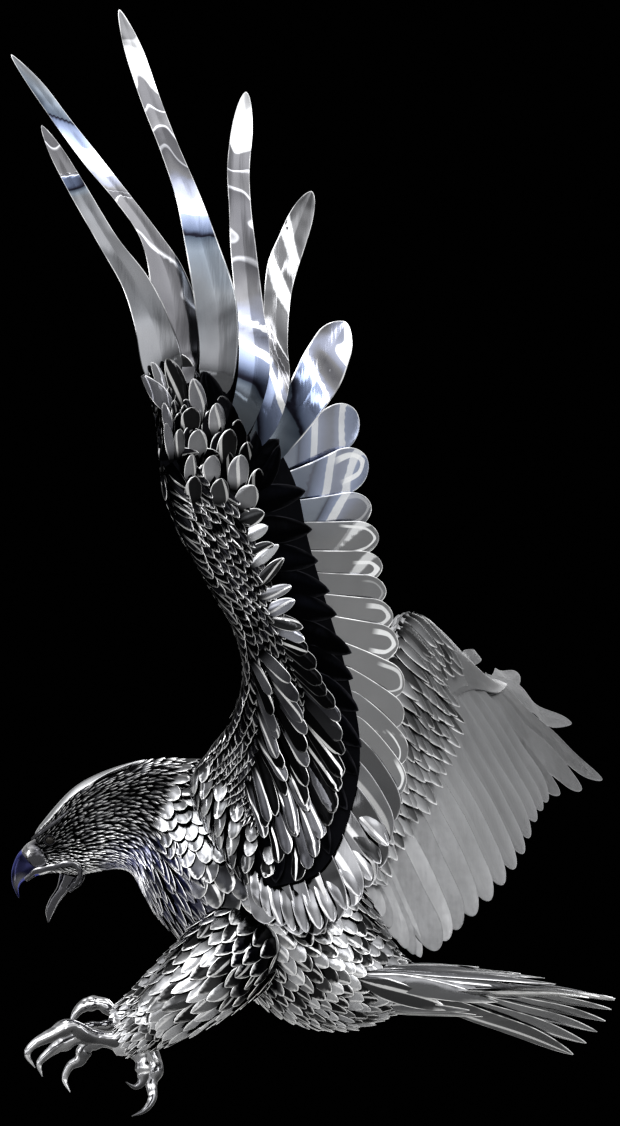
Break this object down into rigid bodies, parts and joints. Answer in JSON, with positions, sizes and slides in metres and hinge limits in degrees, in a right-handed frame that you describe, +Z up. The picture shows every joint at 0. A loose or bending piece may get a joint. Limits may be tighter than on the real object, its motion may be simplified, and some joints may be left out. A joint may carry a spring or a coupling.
{
  "type": "stainless steel eagle sculpture",
  "caption": "Larger-than-life stainless steel eagle striking with open talons, one wing raised and one swept back, clad in separate metal feathers, hung from a pad on its back.",
  "frame": {"origin": "middle of the flat top of the hanging pad on the back", "axes": "+Z up, -X the way the beak points, -Y the bird's left side"},
  "size_m": [2.5001, 3.4288, 4.1846],
  "materials": {
    "mirror_steel": "mirror polished stainless steel",
    "satin_steel": "satin stainless steel sheet",
    "scale_steel": "polished overlapping stainless steel scales"
  },
  "bodies": {
    "root": {"body": "scale_steel", "crown_plate": "mirror_steel", "left_foot": "mirror_steel", "left_primary_1": "mirror_steel", "left_primary_2": "mirror_steel", "left_primary_3": "mirror_steel", "left_primary_4": "mirror_steel", "left_primary_5": "mirror_steel", "left_primary_6": "mirror_steel", "left_secondary_1": "mirror_steel", "left_secondary_10": "mirror_steel", "left_secondary_11": "mirror_steel", "left_secondary_12": "mirror_steel", "left_secondary_2": "mirror_steel", "left_secondary_3": "mirror_steel", "left_secondary_4": "mirror_steel", "left_secondary_5": "mirror_steel", "left_secondary_6": "mirror_steel", "left_secondary_7": "mirror_steel", "left_secondary_8": "mirror_steel", "left_secondary_9": "mirror_steel", "left_tertials": "mirror_steel", "left_wing_arm": "scale_steel", "lower_beak": "mirror_steel", "right_foot": "mirror_steel", "right_primary_1": "satin_steel", "right_primary_2": "satin_steel", "right_primary_3": "satin_steel", "right_primary_4": "satin_steel", "right_primary_5": "satin_steel", "right_primary_6": "satin_steel", "right_secondary_1": "satin_steel", "right_secondary_10": "satin_steel", "right_secondary_11": "satin_steel", "right_secondary_12": "satin_steel", "right_secondary_2": "satin_steel", "right_secondary_3": "satin_steel", "right_secondary_4": "satin_steel", "right_secondary_5": "satin_steel", "right_secondary_6": "satin_steel", "right_secondary_7": "satin_steel", "right_secondary_8": "satin_steel", "right_secondary_9": "satin_steel", "right_tertials": "satin_steel", "right_wing_arm": "scale_steel", "tail_feather_1": "mirror_steel", "tail_feather_10": "mirror_steel", "tail_feather_11": "mirror_steel", "tail_feather_2": "mirror_steel", "tail_feather_3": "mirror_steel", "tail_feather_4": "mirror_steel", "tail_feather_5": "mirror_steel", "tail_feather_6": "mirror_steel", "tail_feather_7": "mirror_steel", "tail_feather_8": "mirror_steel", "tail_feather_9": "mirror_steel", "upper_beak": "mirror_steel"}
  },
  "joints": []
}
